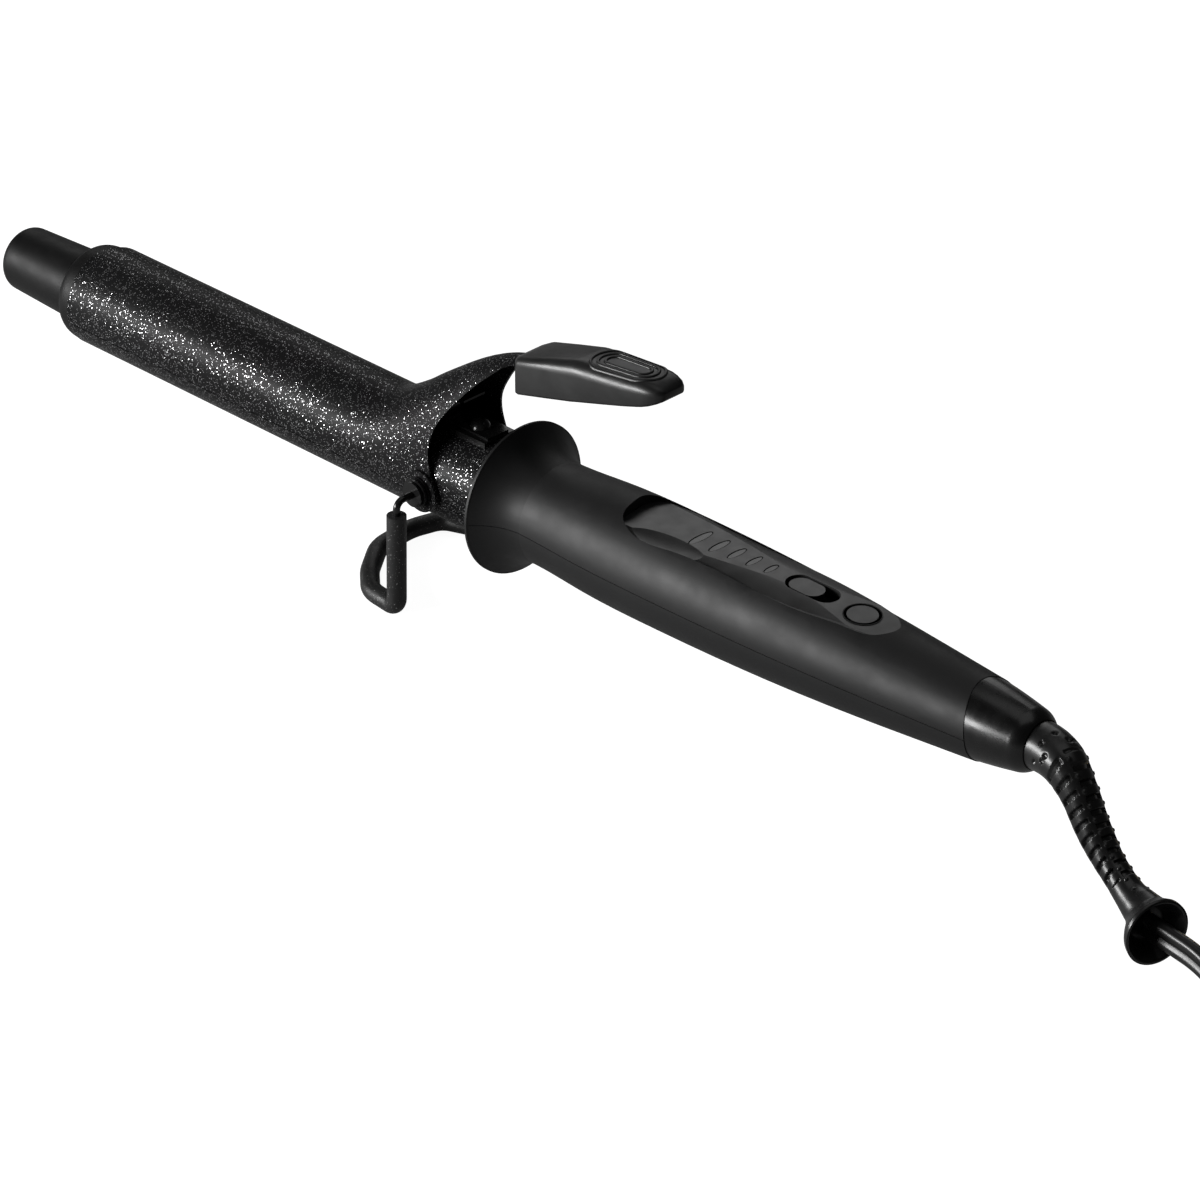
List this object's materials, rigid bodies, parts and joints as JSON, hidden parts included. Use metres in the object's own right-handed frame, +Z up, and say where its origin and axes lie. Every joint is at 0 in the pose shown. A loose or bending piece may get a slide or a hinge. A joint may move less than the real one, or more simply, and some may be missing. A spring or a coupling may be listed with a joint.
{
  "type": "curling iron",
  "caption": "Round-barrel hair curling iron with a sprung clamp and thumb lever, wire stand, handle with slide switch and power key, and a swivel cord that ends in a plug.",
  "frame": {"origin": "middle of the iron's own box, from its tip to the end of the strain relief, on the surface it stands on", "axes": "+X from the cool tip towards the cord, +Y across the iron, +Z up, with the thumb lever and the control panel on top"},
  "size_m": [0.485, 0.0874, 0.0825],
  "materials": {
    "barrel_coat": "glittering ceramic coat",
    "clamp_coat": "glittering ceramic coat",
    "heatproof_plastic": "fine matt",
    "soft_touch": "soft-touch matt",
    "panel_gloss": "satin gloss",
    "pad_plastic": "satin",
    "cap_gloss": "high gloss",
    "black_steel": "black satin",
    "bright_steel": "bright",
    "stand_sleeve": "matt heat-proof sleeve",
    "cord_rubber": "semi-matt moulded",
    "aluminium": "extruded",
    "ceramic": "white ceramic",
    "brass": "bright",
    "board": "coated board",
    "lens": "smoked clear",
    "wire_insulation": "silicone"
  },
  "bodies": {
    "iron": {"cool_tip": "heatproof_plastic", "tip_collar": "heatproof_plastic", "barrel_tube": "barrel_coat", "upper_heat_spreader": "aluminium", "lower_heat_spreader": "aluminium", "ceramic_heater": "ceramic", "thermistor": "ceramic", "thermal_fuse": "bright_steel", "heater_leads": "wire_insulation", "barrel_insulator": "ceramic", "pivot_bushes": "black_steel", "clamp_spring": "black_steel", "spring_saddle": "black_steel", "spring_rivet": "black_steel", "front_ring": "soft_touch", "upper_shell": "soft_touch", "lower_shell": "soft_touch", "shell_screws": "bright_steel", "control_panel": "panel_gloss", "indicator_lens": "lens", "indicator_leds": "ceramic", "slide_switch": "heatproof_plastic", "button_ring": "panel_gloss", "power_switch": "heatproof_plastic", "circuit_board": "board", "triac": "heatproof_plastic", "capacitor": "panel_gloss", "end_cap": "cap_gloss", "swivel_socket": "heatproof_plastic", "contact_springs": "brass", "mains_leads": "wire_insulation"},
    "clamp": {"clamp_spoon": "clamp_coat", "thumb_pad": "pad_plastic"},
    "stand": {"stand_wire": "black_steel", "stand_sleeve": "stand_sleeve"},
    "slide_key": {"slide_cap": "panel_gloss"},
    "power_key": {"power_button": "panel_gloss"},
    "cord_swivel": {"swivel_core": "heatproof_plastic", "slip_rings": "brass", "strain_relief": "cord_rubber", "cord_lead": "cord_rubber", "cord_tail": "cord_rubber", "cord_coil": "cord_rubber", "cord_tie": "cord_rubber", "plug_body": "cord_rubber", "plug_blades": "brass"}
  },
  "joints": [
    {"name": "clamp_hinge", "type": "hinge", "parent": "iron", "child": "clamp", "pos_m": [-0.03445, 0, 0.03165], "axis": [0, 1, 0], "range_deg": [0, 20], "stiffness_Nm_per_rad": 0.6, "springref_deg": -14.32, "deforming": ["clamp_spring"]},
    {"name": "stand_fold", "type": "hinge", "parent": "iron", "child": "stand", "pos_m": [-0.03445, 0, 0.03165], "axis": [0, 1, 0], "range_deg": [-88, 0]},
    {"name": "switch_slide", "type": "slide", "parent": "iron", "child": "slide_key", "axis": [1, 0, 0], "range_m": [0, 0.0038]},
    {"name": "power_press", "type": "slide", "parent": "iron", "child": "power_key", "axis": [0, 0, -1], "range_m": [0, 0.0006], "stiffness_N_per_m": 600, "springref_m": -0.0005},
    {"name": "cord_turn", "type": "hinge", "parent": "iron", "child": "cord_swivel", "pos_m": [0.13555, 0, 0.03317], "axis": [1, 0, 0], "continuous": true}
  ]
}
